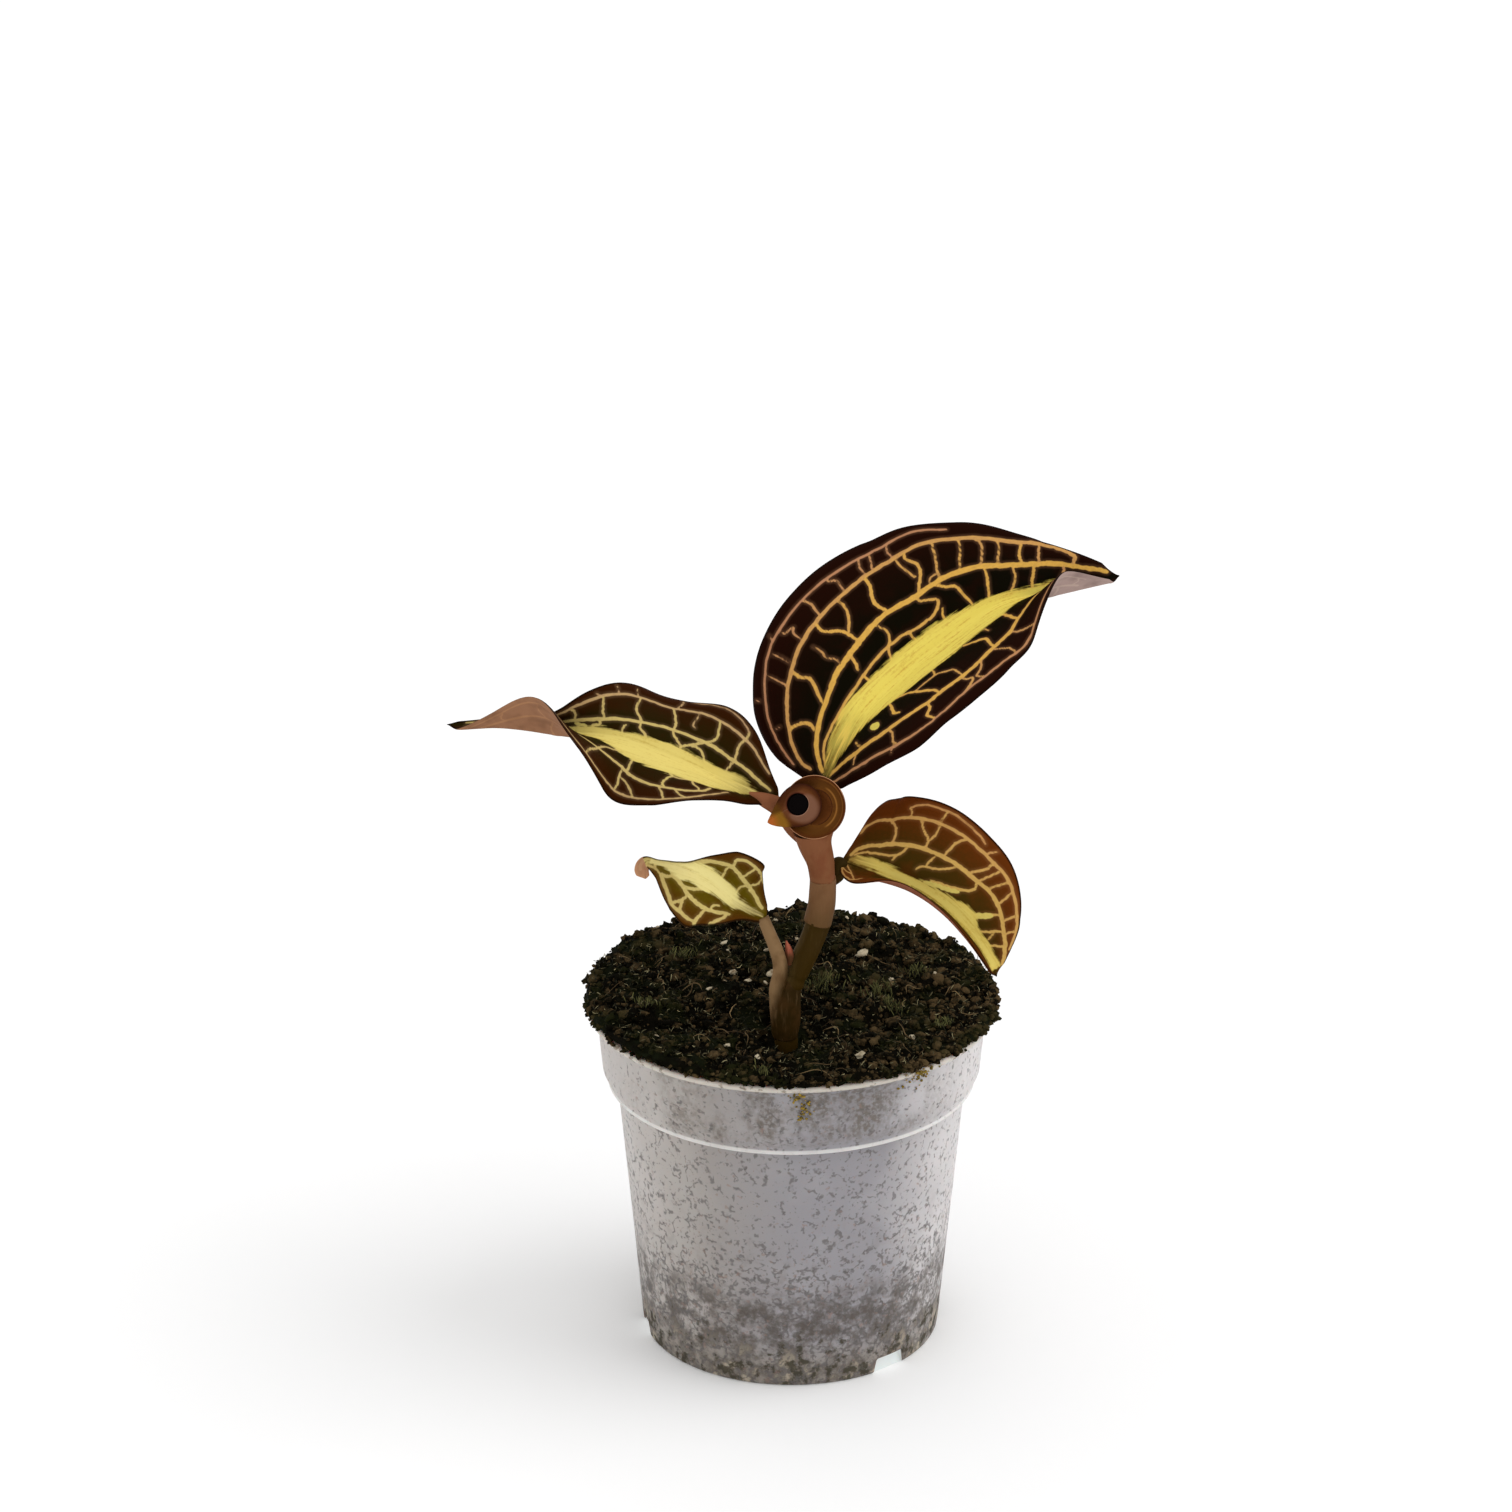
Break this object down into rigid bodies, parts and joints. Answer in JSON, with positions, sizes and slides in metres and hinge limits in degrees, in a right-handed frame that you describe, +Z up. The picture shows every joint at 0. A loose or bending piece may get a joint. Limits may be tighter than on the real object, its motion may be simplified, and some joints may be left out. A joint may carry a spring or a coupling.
{
  "type": "potted jewel orchid",
  "caption": "Young jewel orchid with dark, gold-veined velvety leaves on a short leaning stem, in a small soil-filled plastic nursery pot",
  "frame": {"origin": "on the pot's axis, in the plane the pot stands on, at the flat foot pad in the middle of the base", "axes": "+Z up along the pot's axis; the plant is seen best from -Y, with the large topmost leaf pointing toward +X"},
  "size_m": [0.0965, 0.0606, 0.1215],
  "materials": {
    "pot_plastic": "translucent grey-white thin plastic, dusty, speckled with soil dust that thickens toward the foot",
    "soil_crumb": "dry black-brown peat crumbs with fibres, moss tufts and pale flakes",
    "stem_skin": "smooth fleshy olive-brown skin, pinkish above, satin",
    "leaf_top_skin": "velvety near-black blade with golden midrib and vein net, pinkish grey underside",
    "leaf_left_skin": "velvety dark olive-brown blade with yellow-tan vein net, pinkish tan underside",
    "leaf_right_skin": "velvety red-brown blade with gold vein net, reddish underside",
    "leaf_lower_skin": "velvety olive blade with cream midrib band and tan vein net, orange-pink underside",
    "young_leaf_skin": "rolled young leaf, red-brown to ochre, satin",
    "bud_skin": "small fleshy pink bud"
  },
  "bodies": {
    "root": {"pot": "pot_plastic", "soil": "soil_crumb", "stem": "stem_skin", "leaf_top": "leaf_top_skin", "leaf_left": "leaf_left_skin", "leaf_right": "leaf_right_skin", "leaf_lower": "leaf_lower_skin", "young_leaf": "young_leaf_skin", "side_bud": "bud_skin"}
  },
  "joints": []
}
